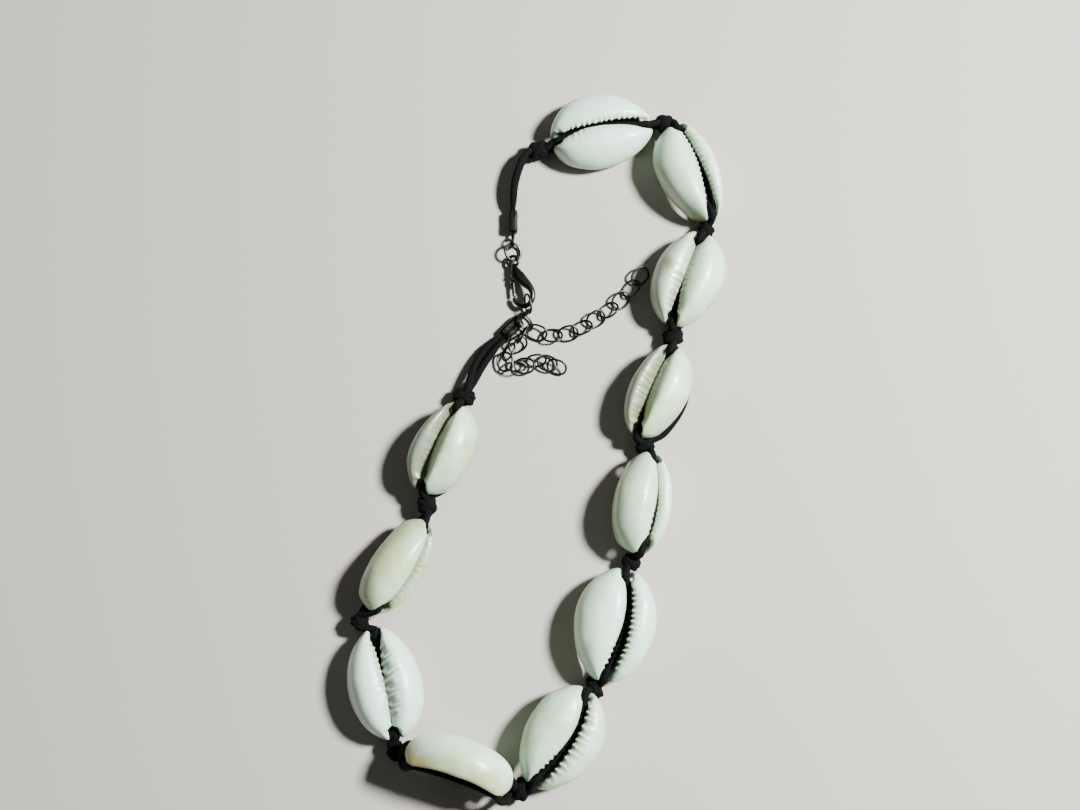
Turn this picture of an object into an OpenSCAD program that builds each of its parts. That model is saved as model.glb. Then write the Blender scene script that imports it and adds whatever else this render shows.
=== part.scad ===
// A cowrie shell necklace, closed by its clasp and lying on a level surface.
// Millimetres. X runs across the loop, Y along it and Z up from the surface.

/* [Shells] */
// Height of a shell's slot above its back, as a share of each shell's own height
slot_height = 1; // [0.98:0.01:1.02]
// Depth of the notch at each end of a shell, seen from above
notch_depth = 1.5; // [1.2:0.1:1.7]
// How far a tooth of the slot stands out from the lip
tooth_depth = 0.2; // [0:0.05:0.25]

/* [Cord] */
// Thickness of one strand of the waxed cord
strand_d = 1.8; // [1.5:0.05:1.8]
// Thickness of a knot
knot_d = 3.8; // [3.4:0.1:3.9]

/* [Metal ends] */
// Length of a crimp's folded body
crimp_length = 5.6; // [5:0.1:5.8]
// Width of a crimp's folded body
crimp_width = 3.1; // [3.1:0.05:3.3]
// Thickness of a crimp's folded body
crimp_thick = 2.3; // [2.2:0.05:2.4]
// Wall of the folded sheet
crimp_wall = 0.35; // [0.3:0.01:0.38]

/* [Clasp] */
// Thickness of the clasp's body at its hinge
clasp_thick = 2.2; // [2.1:0.05:2.4]
// Thickness of the lever
lever_thick = 0.8; // [0.6:0.05:0.8]
// Radius of the lever's pin
pin_r = 0.35; // [0.25:0.01:0.36]

/* [Chain] */
// Length of a link over its ends
link_length = 5.2; // [5.1:0.05:5.3]
// Width of a link over its sides
link_width = 4.2; // [4.1:0.05:4.3]
// Thickness of a link's wire
wire_d = 0.55; // [0.4:0.01:0.56]

/* [Hidden] */
TWO = ["01", "02", "03", "04", "05", "06", "07", "08", "09", "10", "11", "12"];

// The tables below give places from a point near the loop's middle. The whole necklace is moved
// by this much, so that the origin is under the middle of its box.
CENTRING = [-0.35, 1.30, 0];
module centred() {
    translate(CENTRING) children();
}

// One row a shell: place of its middle, heading of its narrow (rear) end, lean of its slot towards
// the toothed lip, length, half width of the toothed lip and how much wider it is to the rear, the
// same of the smooth lip, height, half width and sideways bend of the slot, depth of the valley
// about the slot as a share of the height, and how far the cut back is hollowed lengthwise.
SHELLS = [
    //   x,     y,   yaw, lean, length, toothed, taper, smooth, taper, height, slot, bend, valley, arch
    [ 15.4,  73.7,   191,    0,   25.6,    10.0,  0.15,    8.6,  0.10,    9.6, 0.45, -1.0,   0.00,  0.0],
    [ 37.8,  63.7,   110,   10,   25.8,     5.8,  0.00,    8.9,  0.18,    9.6, 0.45, -0.6,   0.05,  0.0],
    [ 35.5,  36.8,  -109,    9,   24.6,     8.2,  0.05,    8.6, -0.15,    9.4, 0.60, -0.3,   0.12,  0.0],
    [ 27.5,   9.4,  -112,   18,   24.0,     6.2,  0.12,    7.9, -0.15,    9.4, 0.40, -0.3,   0.20,  0.0],
    [ 25.1, -17.4,    83,   30,   24.6,     5.7,  0.00,    7.7, -0.14,    9.4, 0.40, -0.6,   0.05,  0.0],
    [ 17.7, -45.7,    78,    7,   27.0,     9.4,  0.05,    9.6,  0.08,   10.0, 0.75, -1.7,   0.00,  0.0],
    [  4.9, -71.0,    59,   10,   25.4,     9.6,  0.06,    8.3,  0.10,    9.8, 0.80, -1.7,   0.00,  0.0],
    [-17.7, -76.6,   -19,  -98,   25.8,     8.5,  0.00,    8.5,  0.00,   10.0, 0.50, -0.5,   0.00,  1.0],
    [-35.3, -58.8,   -78,    4,   26.4,     8.8,  0.05,    8.5,  0.12,    9.8, 0.35,  0.4,   0.08,  0.0],
    [-32.1, -32.3,    61,   50,   24.8,     5.1,  0.00,    6.4, -0.25,    9.0, 0.40, -0.5,   0.05,  0.0],
    [-23.0,  -4.3,  -112,   22,   23.2,     6.8,  0.28,    8.0, -0.05,    9.4, 0.40, -0.5,   0.20,  0.0]
];
X = 0;
Y = 1;
YAW = 2;
LEAN = 3;
LENGTH = 4;
TOOTHED = 5;
SMOOTH = 7;
HEIGHT = 9;
SLOT = 10;
BEND = 11;
VALLEY = 12;
ARCH = 13;

// One row a shell, for its two strands: +1 where the shell's rear end comes first along the cord
// and -1 where it comes last, how far the strand behind it lies to the left of the shell's middle
// line at its middle and at its ends, the share of the length at which the strand in its slot has
// left the notches, the same of the strand behind it where that goes round the shell's rim, and how
// far the strand behind it rises from the surface at its middle.
STRANDS = [
    // first, bow, at end, out, back out, rise
    [ 1,  0.0,  0.0, 0.470, 0.00, 0.0],
    [ 1,  0.0,  0.0, 0.480, 0.00, 0.0],
    [-1,  4.0,  0.5, 0.490, 0.00, 0.0],
    [-1,  7.5,  0.2, 0.505, 0.00, 0.0],
    [ 1, -3.5,  0.0, 0.490, 0.00, 0.0],
    [ 1,  0.0,  0.0, 0.470, 0.00, 0.0],
    [ 1,  0.0,  0.0, 0.480, 0.00, 0.0],
    [ 1,  3.3,  5.1, 0.490, 0.46, 10.2],
    [ 1,  0.0,  0.0, 0.470, 0.46, 0.0],
    [-1,  3.5,  2.0, 0.470, 0.00, 0.0],
    [ 1, -5.5, -0.3, 0.490, 0.00, 0.0]
];
FIRST = 0;
BOW = 1;
AT_END = 2;
OUT = 3;
BACK_OUT = 4;
RISE = 5;

// One row a knot: place of its middle, its length along the cord and its heading, which runs from
// the clasp's cord round the loop to the chain's cord, and its width across the cord.
KNOTS = [
    //   x,     y,    z, length, heading, width
    [ -0.1,  69.8,  2.8,    4.2,      12,   4.7],
    [ 31.1,  76.6,  2.8,    3.6,       0,   4.8],
    [ 40.7,  49.7,  2.8,    2.4,    -122,   4.3],
    [ 32.2,  22.9,  2.8,    3.2,     -88,   5.3],
    [ 25.2,  -3.7,  2.8,    2.4,     -52,   4.7],
    [ 21.6, -31.0,  2.8,    2.4,    -133,   4.8],
    [ 12.9, -59.7,  2.8,    2.3,    -150,   5.9],
    [ -3.9, -82.6,  3.4,    3.2,     170,   5.6],
    [-32.7, -74.0,  3.0,    2.8,     135,   4.8],
    [-41.5, -44.7,  3.9,    2.1,      88,   4.6],
    [-26.2, -17.7,  4.2,    3.4,     100,   4.8],
    [-17.8,   8.4,  2.8,    3.0,      64,   5.8]
];
K_LENGTH = 3;
K_HEADING = 4;
K_WIDTH = 5;

cord_r = strand_d / 2;
strand_gap = 0.15;
face_gap = 0.2;
strand_rise = cord_r + strand_gap / 2 + 0.02;
ring_steps = 40;
cord_sides = 8;

function lerp(a, b, t) = a + (b - a) * t;
function unit(v) = v / norm(v);
function bump(x, w) = exp(-pow(x / w, 2));
function heading(a) = [cos(a), sin(a), 0];
function smooth(t) = let(c = min(1, max(0, t))) c * c * (3 - 2 * c);
function sign_of(x) = x < 0 ? -1 : 1;

// A shell's own frame: X towards its rear end, Y towards its smooth lip, Z out of the slot, and
// its cut back on Z = 0. The shell is a ring about the slot, and every section of the ring is
// this closed outline: share of the way from the slot to the outer edge, and share of the height.
WALL = [
    // out,  up
    [0.00, 0.80],
    [0.10, 0.95],
    [0.30, 1.00],
    [0.58, 0.96],
    [0.82, 0.80],
    [1.00, 0.48],
    [0.95, 0.20],
    [0.84, 0.00],
    [0.70, 0.00],
    [0.80, 0.30],
    [0.72, 0.58],
    [0.40, 0.74]
];
outline_power = 1.12;
slot_share = 0.43;
notch_angle = 7;
notch_slot = 1.35;
end_top = 0.34;
end_lift = 2.35;
rear_fullness = 0.58;
front_fullness = 0.70;

// Angle from the nearer end of the shell, 0 to 90
function from_end(phi) = let(a = abs(((phi + 180) % 360) - 180)) min(a, 180 - a);
function outer_x(s, phi) =
    sign_of(cos(phi)) * (s[LENGTH] / 2 * abs(cos(phi)) - notch_depth * bump(from_end(phi), notch_angle));
function outer_y(s, phi) =
    let(lip = sin(phi) < 0 ? TOOTHED : SMOOTH)
    s[lip] * sign_of(sin(phi)) * pow(abs(sin(phi)), outline_power) * (1 + s[lip + 1] * cos(phi));
function slot_bend(s, u) = s[BEND] * (1 - u * u) * (1 + 0.3 * u);
// The slot widens into the notches: where that starts and how far it takes, as shares of its length
rear_widening = [0.84, 0.11];
front_widening = [0.70, 0.24];
function slot_widening(u) =
    let(w = u > 0 ? rear_widening : front_widening)
    smooth((abs(u) - w[0]) / w[1]);
function slot_half(s, u) = lerp(s[SLOT], notch_slot, slot_widening(u));
function slot_closing(phi) = smooth(from_end(phi) / 13);
function slot_point(s, phi, step) =
    let(
        u = cos(phi),
        tooth = from_end(phi) < 24 ? 0 : tooth_depth * (step % 2 == 0 ? 1 : -1),
        half = slot_half(s, u) * slot_closing(phi) + tooth * (sin(phi) < 0 ? 1 : 0.5)
    )
    [s[LENGTH] * slot_share * u, slot_bend(s, u) + sign_of(sin(phi)) * half];
function lip_top(s, phi) =
    let(
        a = from_end(phi),
        dome = pow(sin(a), cos(phi) > 0 ? rear_fullness : front_fullness)
    )
    s[HEIGHT] * (end_top + (1 - end_top) * dome * smooth((a - 4) / 12));
function rim_lift(s, phi) =
    let(a = from_end(phi)) end_lift * (1 - smooth((a - 8) / 32)) + s[ARCH] * smooth((a - 20) / 60);
// How far the lips sink towards the slot, as a share of the height
function sinking(s, phi, w) =
    w[1] < 0.5 ? 0 : s[VALLEY] * (1 - smooth(w[0] / 0.5)) * smooth((from_end(phi) - 20) / 25);
function shell_vertex(s, step, w) =
    let(
        phi = 360 * step / ring_steps,
        inner = slot_point(s, phi, step),
        lift = rim_lift(s, phi)
    )
    [
        lerp(inner[0], outer_x(s, phi), w[0]),
        lerp(inner[1], outer_y(s, phi), w[0]),
        lift + (lip_top(s, phi) - lift) * (w[1] - sinking(s, phi, w)) * slot_height
    ];

// From a shell's frame to the necklace's: it leans about a line at mid height, then turns
function axis_height(s) = 0.45 * s[HEIGHT];
function leant(s, p) =
    let(z = p[2] - axis_height(s))
    [p[0], p[1] * cos(s[LEAN]) - z * sin(s[LEAN]), p[1] * sin(s[LEAN]) + z * cos(s[LEAN])];
function shell_base(s) = -min([
    for (step = [0 : ring_steps - 1], w = WALL) leant(s, shell_vertex(s, step, w))[2]
]);
BASES = [for (s = SHELLS) shell_base(s)];
function placed(i, p) =
    let(s = SHELLS[i], q = leant(s, p), c = cos(s[YAW]), n = sin(s[YAW]))
    [s[X] + q[0] * c - q[1] * n, s[Y] + q[0] * n + q[1] * c, BASES[i] + q[2]];

// A closed band of rings, each with the same number of points, joined end to end or capped
module band(rings, closed) {
    count = len(rings);
    sides = len(rings[0]);
    last = closed ? count - 1 : count - 2;
    walls = [
        for (i = [0 : last], j = [0 : sides - 1])
            let(a = i * sides + j, b = i * sides + (j + 1) % sides,
                c = ((i + 1) % count) * sides + (j + 1) % sides, d = ((i + 1) % count) * sides + j)
            each [[a, c, b], [a, d, c]]
    ];
    caps = closed ? [] : [
        [for (j = [0 : sides - 1]) j],
        [for (j = [sides - 1 : -1 : 0]) (count - 1) * sides + j]
    ];
    polyhedron(points = [for (r = rings) each r], faces = concat(walls, caps), convexity = 6);
}

// A round cord through the points of a route, of the radius given at each point, whose flat ends
// face the two given ways
module cord(route, radii, first_way, last_way) {
    last = len(route) - 1;
    band([
        for (i = [0 : last])
            let(
                way = i == 0 ? first_way
                    : i == last ? last_way
                    : unit(unit(route[i + 1] - route[i]) + unit(route[i] - route[i - 1])),
                side = unit(cross(way, [0, 0, 1])),
                over = cross(side, way)
            )
            [
                for (j = [0 : cord_sides - 1])
                    let(a = 360 * (j + 0.5) / cord_sides)
                    route[i] + radii[i] * (side * cos(a) - over * sin(a))
            ]
    ], false);
}

module shell(i) {
    s = SHELLS[i];
    color("ivory") centred()
    band([
        for (step = [0 : ring_steps - 1])
            [for (w = WALL) placed(i, shell_vertex(s, step, w))]
    ], true);
}

function knot_way(k) = heading(KNOTS[k][K_HEADING]);

// Where a strand leaves a knot: forwards (way = 1) or backwards (-1), the upper strand (level = 1)
// or the lower one (-1)
function knot_exit(k, way, level) =
    let(n = KNOTS[k])
    [n[X], n[Y], n[2]] + knot_way(k) * way * (n[K_LENGTH] / 2 + face_gap)
        + [0, 0, level * strand_rise];

// A knot: a flattened barrel wound aslant by two turns of cord
knot_sides = 10;
wound_depth = 0.07;
wound_twist = 280;
KNOT_SECTIONS = [
    // along, radius
    [-0.50, 0.62],
    [-0.38, 0.92],
    [-0.14, 1.00],
    [ 0.14, 1.00],
    [ 0.38, 0.92],
    [ 0.50, 0.62]
];
module knot(k) {
    n = KNOTS[k];
    way = knot_way(k);
    side = cross(way, [0, 0, 1]);
    color("#1d1b1a") centred()
    band([
        for (c = KNOT_SECTIONS)
            [
                for (j = [0 : knot_sides - 1])
                    let(
                        a = 360 * j / knot_sides,
                        wound = c[1] * (1 - wound_depth * (1 + cos(2 * a - wound_twist * c[0])))
                    )
                    [n[X], n[Y], n[2]] + way * c[0] * n[K_LENGTH]
                        + wound * (side * cos(a) * n[K_WIDTH] - [0, 0, sin(a)] * knot_d) / 2
            ]
    ], false);
}

// The strand in a shell's slot: over the notch at one end, under both lips, and out at the other
SLOT_RUN = [
    // share of the length from the middle, share of the height, share of the valley below that
    [0.430, 0.50, 0.0],
    [0.330, 0.50, 0.8],
    [0.000, 0.60, 0.8]
];
notch_height = 0.44;
function mirrored_run(rows) =
    concat(rows, [for (j = [len(rows) - 2 : -1 : 0]) [-rows[j][0], rows[j][1], rows[j][2]]]);
function between_knots(i, level, points) =
    concat([knot_exit(i, 1, level)], points, [knot_exit(i + 1, -1, level)]);
function slot_route(i) =
    let(s = SHELLS[i], c = STRANDS[i])
    between_knots(i, 1, [
        for (r = mirrored_run(concat([[c[OUT], notch_height, 0]], SLOT_RUN)))
            let(x = c[FIRST] * r[0] * s[LENGTH], u = x / (s[LENGTH] * slot_share))
            placed(i, [x, abs(u) > 0.9 ? 0 : slot_bend(s, u), (r[1] - r[2] * s[VALLEY]) * s[HEIGHT]])
    ]);

// The strand behind a shell: down to the surface, along it and up to the next knot. Behind the
// shell that lies on its side it runs in the hollow of the back.
BACK_RUN = [
    // share of the length from the middle, share of the bow, share of the rise
    [0.34, 0.75, 0.90],
    [0.00, 1.00, 1.00]
];
back_rise = 0.03;
end_rise = 0.45;
function back_route(i) =
    let(
        s = SHELLS[i],
        c = STRANDS[i],
        out = heading(s[YAW]) * c[FIRST],
        left = [out[1], -out[0], 0]
    )
    between_knots(i, -1, [
        for (r = mirrored_run(concat(c[BACK_OUT] > 0 ? [[c[BACK_OUT], 0, end_rise]] : [], BACK_RUN)))
            [s[X], s[Y], cord_r + back_rise + c[RISE] * r[2]] + out * r[0] * s[LENGTH]
                + left * lerp(c[AT_END], c[BOW], r[1])
    ]);

module strands(i) {
    slot_way = slot_route(i);
    back_way = back_route(i);
    color("#1d1b1a") centred() {
        cord(slot_way, [for (p = slot_way) cord_r], knot_way(i), knot_way(i + 1));
        cord(back_way, [for (p = back_way) cord_r], knot_way(i), knot_way(i + 1));
    }
}

// Cords to the metal ends. Each row is a point of the pair's middle line, the way from it to the
// first strand of the pair, and the radius of a strand there, which is squeezed in the crimp.
CLASP_CORD = [
    //   x,     y,    z,  side x, side y, side z, radius
    [ -3.2,  68.4,  3.2,   0.0,   0.0,  0.98, 0.90],
    [ -4.5,  66.0,  3.5,   0.0,   0.0,  0.98, 0.90],
    [ -5.8,  61.5,  3.3,   0.0,   0.0,  0.98, 0.90],
    [ -6.2,  57.5,  2.6,   0.0,   0.0,  0.95, 0.85],
    [ -6.3,  55.4,  2.0,   0.0,   0.0,  0.70, 0.60],
    [ -6.3,  53.8,  1.65,  0.0,   0.0,  0.50, 0.46],
    [ -6.3,  50.6,  1.65,  0.0,   0.0,  0.50, 0.46]
];
CHAIN_CORD = [
    [-16.0,  12.4,  2.4,  -0.4,   0.2,  0.90, 0.90],
    [-14.4,  16.2,  1.8,  -0.8,   0.3,  0.50, 0.90],
    [-12.3,  19.6,  1.4,  -0.8,   0.5,  0.20, 0.88],
    [ -9.8,  22.3,  1.3,  -0.50,  0.50, 0.10, 0.62],
    [ -8.1,  24.0,  1.25, -0.40,  0.40, 0.00, 0.46],
    [ -5.7,  26.4,  1.25, -0.40,  0.40, 0.00, 0.46]
];
module end_cord(rows, way, k, last_way) {
    for (level = [1, -1]) {
        route = concat(
            [knot_exit(k, way, level)],
            [for (r = rows) [r[0], r[1], r[2]] + level * [r[3], r[4], r[5]]]
        );
        cord(route, concat([cord_r], [for (r = rows) r[6] * strand_d / 1.8]), way * knot_way(k), last_way);
    }
}
module clasp_cord() {
    color("#1d1b1a") centred() end_cord(CLASP_CORD, -1, 0, heading(-90));
}
module chain_cord() {
    color("#1d1b1a") centred() end_cord(CHAIN_CORD, 1, 11, heading(chain_turn));
}

// A fold-over crimp from its mouth along +X: a sheet folded round the cord's end, seamed on top,
// with a neck and a loop. The loop stands upright, or lies in the sheet's plane.
// How far a cut starts outside the piece it is taken from
cut_over = 1;
crimp_floor = 1.0;
crimp_seam = 0.25;
loop_r = 1.3;
loop_wire_r = 0.3;
neck_length = 1.0;
neck_width = 0.8;
neck_thick = 0.7;
neck_overlap = 0.1;
module crimp() {
    difference() {
        translate([0, -crimp_width / 2, -crimp_thick / 2])
            cube([crimp_length, crimp_width, crimp_thick]);
        translate([-cut_over, crimp_wall - crimp_width / 2, crimp_wall - crimp_thick / 2])
            cube([
                crimp_length - crimp_floor + cut_over,
                crimp_width - 2 * crimp_wall,
                crimp_thick - 2 * crimp_wall
            ]);
        translate([-cut_over, -crimp_seam / 2, 0])
            cube([crimp_length - crimp_floor + cut_over, crimp_seam, crimp_thick]);
    }
    translate([crimp_length - neck_overlap, -neck_width / 2, -neck_thick / 2])
        cube([neck_length, neck_width, neck_thick]);
}
loop_x = crimp_length + neck_length + loop_r - loop_wire_r + 0.05;
module wire_ring(r, wire_r) {
    rotate_extrude($fn = 48) translate([r, 0]) circle(r = wire_r, $fn = 20);
}

CLASP_MOUTH = [-6.3, 54.6, 1.65];
CHAIN_MOUTH = [-8.4, 23.7, 1.25];
chain_loop_rise = 0.4;
chain_turn = 45;
module clasp_crimp() {
    color("#6b6863") centred()
    translate(CLASP_MOUTH) rotate([0, 0, -90]) {
        rotate([90, 0, 0]) crimp();
        translate([loop_x, 0, 0]) rotate([90, 0, 0]) wire_ring(loop_r, loop_wire_r);
    }
}
module chain_crimp() {
    color("#6b6863") centred()
    translate(CHAIN_MOUTH) rotate([0, 0, chain_turn]) {
        crimp();
        translate([loop_x, 0, chain_loop_rise]) rotate([90, 0, 0]) wire_ring(loop_r, loop_wire_r);
    }
}

ring_r = 2.1;
ring_wire_r = 0.35;
RING_AT = [-6.3, 44.4, 1.65];
ring_tilt = 30;
module jump_ring() {
    color("#6b6863") centred()
    translate(RING_AT) rotate([0, ring_tilt, 0]) wire_ring(ring_r, ring_wire_r);
}

// The lobster clasp in its own frame: X across it, Y from the hook's bottom up to the eye.
CLASP_OUTLINE = [
    // across, up
    [0.1, 11.2], [1.5, 11.2], [3.0, 9.6], [4.8, 6.8], [5.5, 5.1], [5.8, 3.7], [5.5, 2.2],
    [4.6, 0.9], [2.9, 0.2], [1.3, 0.7], [0.2, 1.9], [-0.2, 3.2], [0.8, 3.2], [1.3, 2.2],
    [2.2, 1.6], [3.2, 1.5], [4.0, 2.1], [4.35, 3.2], [4.1, 4.4], [3.2, 5.4], [2.0, 6.1],
    [1.2, 6.8], [0.9, 7.6], [-0.2, 7.6], [-0.2, 9.4]
];
EYE_AT = [0.6, 12.3];
eye_r = 1.35;
eye_wire_r = 0.4;
PIN_AT = [0.55, 8.5];
lever_width = 0.9;
lever_top = 0.75;
lever_reach = 4.9;
nub_reach = 0.45;
nub_width = 0.5;
nub_bottom = 2.1;
nub_height = 1.5;
hinge_gap = 0.15;
pin_gap = 0.05;
hook_thick = 1.5;
// The lever's room runs from the hook's tip to above its round top, and in from the left side
room_bottom = 3.4;
room_top = 9.7;
room_width = 2.9;
// Below this height the body narrows to the hook
hook_top = 4.9;
hook_width = 8;
CLASP_AT = [-6.0, 29.65, 1.45];
clasp_turn = 4;
clasp_tilt = -20;
module clasp_frame() {
    translate(CLASP_AT) rotate([0, 0, clasp_turn]) rotate([0, clasp_tilt, 0]) children();
}
module clasp_body() {
    color("#6b6863") centred()
    clasp_frame() {
        difference() {
            translate([0, 0, -clasp_thick / 2])
                linear_extrude(clasp_thick) polygon(CLASP_OUTLINE);
            translate([-cut_over, room_bottom, -lever_thick / 2 - hinge_gap])
                cube([room_width + cut_over, room_top - room_bottom, lever_thick + 2 * hinge_gap]);
            for (side = [0, 1])
                mirror([0, 0, side])
                    translate([-cut_over, -cut_over, hook_thick / 2])
                        cube([hook_width, hook_top + cut_over, clasp_thick]);
        }
        translate([PIN_AT[0], PIN_AT[1], -lever_thick / 2 - hinge_gap])
            cylinder(r = pin_r, h = lever_thick + 2 * hinge_gap, $fn = 32);
        translate([EYE_AT[0], EYE_AT[1], 0]) wire_ring(eye_r, eye_wire_r);
    }
}
module clasp_lever() {
    color("#77736d") centred()
    clasp_frame()
    difference() {
        translate([PIN_AT[0], PIN_AT[1], -lever_thick / 2]) {
            cylinder(r = lever_top, h = lever_thick, $fn = 40);
            translate([-lever_top, -lever_reach, 0]) cube([lever_width, lever_reach, lever_thick]);
            translate([-lever_top - nub_reach, -nub_bottom, 0]) cube([nub_width, nub_height, lever_thick]);
        }
        translate([PIN_AT[0], PIN_AT[1], -lever_thick])
            cylinder(r = pin_r + pin_gap, h = 2 * lever_thick, $fn = 40);
    }
}

// One link of the chain, long way along X
link_r = (link_width - wire_d) / 2;
link_straight = link_length - link_width;
module link() {
    for (side = [0, 180])
        rotate([0, 0, side]) {
            translate([link_straight / 2, 0, 0])
                rotate([0, 0, -90]) rotate_extrude(angle = 180, $fn = 48)
                    translate([link_r, 0]) circle(d = wire_d, $fn = 20);
            translate([-link_straight / 2, link_r, 0])
                rotate([0, 90, 0]) cylinder(d = wire_d, h = link_straight, $fn = 20);
        }
}
// One row a link: place, heading of its long way, rise of its long way and roll about it
module links(rows) {
    for (r = rows)
        translate([r[0], r[1], r[2]]) rotate([0, 0, r[3]]) rotate([0, -r[4], 0]) rotate([r[5], 0, 0])
            link();
}
CRIMP_LINK = [[-3.2, 26.8, 1.95, 121, 10, 42]];
HOOKED_LINK = [[-2.6, 31.15, 2.9, 99, 9, 110]];
LONG_TAIL = [
    //  x,    y,    z, heading, rise, roll
    [-0.4, 24.4, 1.05,   -20,    0,  20],
    [ 3.3, 23.7, 1.2,      0,    0, -26],
    [ 7.1, 24.2, 1.15,    14,    0,  26],
    [10.6, 25.7, 1.15,    25,    0, -26],
    [13.8, 27.8, 1.15,    35,    0,  26],
    [17.0, 30.0, 1.15,    38,    0, -26],
    [19.9, 32.5, 1.1,     45,    0,  23],
    [22.4, 35.4, 1.15,    53,    0, -26],
    [24.6, 38.5, 1.15,    47,    0,  26]
];
SHORT_TAIL = [
    [-4.0, 23.6, 2.25,   241,    0,  76],
    [-5.1, 21.5, 1.4,    214,   -3, -24],
    [-7.2, 19.5, 1.85,   246,    3,  55],
    [-8.1, 17.2, 1.45,   -81,    0,   8],
    [-5.6, 15.9, 1.65,   -10,    6, -43],
    [-3.4, 16.2, 1.4,      4,    6,   2],
    [-0.6, 17.4, 1.8,      6,   -3,  52],
    [ 2.1, 16.9, 1.0,    -21,    0,  -5],
    [ 4.3, 15.9, 1.5,    -20,    3,  37]
];
module crimp_link() {
    color("#6b6863") centred() links(CRIMP_LINK);
}
module hooked_link() {
    color("#6b6863") centred() links(HOOKED_LINK);
}
module extender_long() {
    color("#6b6863") centred() links(LONG_TAIL);
}
module extender_short() {
    color("#6b6863") centred() links(SHORT_TAIL);
}

for (i = [0 : 10]) {
    shell(i);
    strands(i);
}
for (k = [0 : 11])
    knot(k);
clasp_cord();
chain_cord();
clasp_crimp();
chain_crimp();
jump_ring();
clasp_body();
clasp_lever();
crimp_link();
hooked_link();
extender_long();
extender_short();
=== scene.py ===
# A cowrie shell necklace, closed by its clasp and lying on a pale surface.
import math

import bpy
import numpy as np
from mathutils import Matrix, Vector, noise


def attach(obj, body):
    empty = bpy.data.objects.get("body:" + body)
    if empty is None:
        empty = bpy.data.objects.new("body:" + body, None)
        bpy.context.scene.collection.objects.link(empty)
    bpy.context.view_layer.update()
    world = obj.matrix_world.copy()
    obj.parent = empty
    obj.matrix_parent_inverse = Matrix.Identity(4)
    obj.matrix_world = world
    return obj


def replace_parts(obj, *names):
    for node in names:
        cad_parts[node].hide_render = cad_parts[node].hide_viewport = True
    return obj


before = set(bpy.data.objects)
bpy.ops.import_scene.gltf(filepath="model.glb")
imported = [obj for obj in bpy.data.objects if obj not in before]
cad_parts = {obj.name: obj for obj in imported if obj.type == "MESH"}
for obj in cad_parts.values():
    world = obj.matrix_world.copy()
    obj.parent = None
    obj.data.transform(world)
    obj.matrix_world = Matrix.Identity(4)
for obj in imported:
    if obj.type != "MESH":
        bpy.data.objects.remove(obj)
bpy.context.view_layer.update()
mm = 0.001
print("frame loaded:", len(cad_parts), "nodes")

# The places below are measured from a point near the loop's middle, and moved by this much
# so that the origin is under the middle of the necklace's box.
centring = np.array([-0.35, 1.30, 0.0])  # mm


def toLinear(hexText):
    channels = [int(hexText[i:i + 2], 16) / 255 for i in (1, 3, 5)]
    return [c / 12.92 if c <= 0.04045 else ((c + 0.055) / 1.055) ** 2.4 for c in channels] + [1.0]


def addNode(tree, kind, settings=None, links=None):
    node = tree.nodes.new(kind)
    for name, value in (settings or {}).items():
        if isinstance(name, int) or name in node.inputs:
            node.inputs[name].default_value = value
        else:
            setattr(node, name, value)
    for name, source in (links or {}).items():
        tree.links.new(source, node.inputs[name])
    return node


def smoothStep(t):
    c = np.clip(t, 0.0, 1.0)
    return c * c * (3 - 2 * c)


def ramp(x, start, over):
    # 0 up to the start, then a smooth rise to 1 over so much
    return smoothStep((x - start) / over)


def bump(x, width):
    return np.exp(-(x / width) ** 2)


def circleAngles(count):
    return 2 * math.pi * np.arange(count) / count


def turn(axis, degrees):
    return np.array(Matrix.Rotation(math.radians(degrees), 3, axis))


def heading(degrees):
    return np.array([math.cos(math.radians(degrees)), math.sin(math.radians(degrees)), 0.0])


def unit(v):
    v = np.asarray(v, float)
    return v / np.linalg.norm(v)


# Camera: the photograph's angle, 80 degrees above the surface
cameraSettings = {
    "target": (-0.05, 8.20, 0.0),  # mm, what the middle of the picture looks at
    "elevation": 80.0,             # degrees
    "distance": 375.0,             # mm
    "focalLength": 1562.5,         # px of the 1080 px wide picture
    "imageWidth": 1080,            # px
}


def makeCamera(c):
    data = bpy.data.cameras.new("camera")
    data.sensor_width = 36.0
    data.lens = data.sensor_width * c["focalLength"] / c["imageWidth"]
    data.clip_start = 0.01
    camera = bpy.data.objects.new("camera", data)
    e = math.radians(c["elevation"])
    back = Vector((0.0, -math.cos(e), math.sin(e)))
    camera.location = (Vector(c["target"]) + back * c["distance"]) * mm
    camera.rotation_mode = "QUATERNION"
    camera.rotation_quaternion = (-back).to_track_quat("-Z", "Y")
    bpy.context.scene.collection.objects.link(camera)
    bpy.context.scene.camera = camera


makeCamera(cameraSettings)
print("camera placed")

# Meshes


def makeObject(name, parts, material, body="necklace"):
    # parts is a list of (points in mm, faces, masks, uv per point or None); only a lone part has masks
    points, faces, start = [], [], 0
    for part in parts:
        points.append(np.asarray(part[0], float))
        faces += [tuple(start + i for i in f) for f in part[1]]
        start += len(part[0])
    mesh = bpy.data.meshes.new(name)
    allPoints = (np.concatenate(points) + centring) * mm
    mesh.from_pydata(allPoints.tolist(), [], faces)
    for mask, values in sorted(parts[0][2].items()):
        layer = mesh.attributes.new(mask, "FLOAT", "POINT")
        layer.data.foreach_set("value", values.astype(np.float32))
    if parts[0][3] is not None:
        uv = np.concatenate([part[3] for part in parts])
        loops = np.zeros(len(mesh.loops), np.int32)
        mesh.loops.foreach_get("vertex_index", loops)
        layer = mesh.uv_layers.new(name="along")
        layer.data.foreach_set("uv", uv[loops].ravel().astype(np.float32))
    mesh.polygons.foreach_set("use_smooth", [True] * len(mesh.polygons))
    mesh.materials.append(material)
    mesh.update()
    obj = bpy.data.objects.new(name, mesh)
    bpy.context.scene.collection.objects.link(obj)
    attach(obj, body)
    return obj


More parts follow.
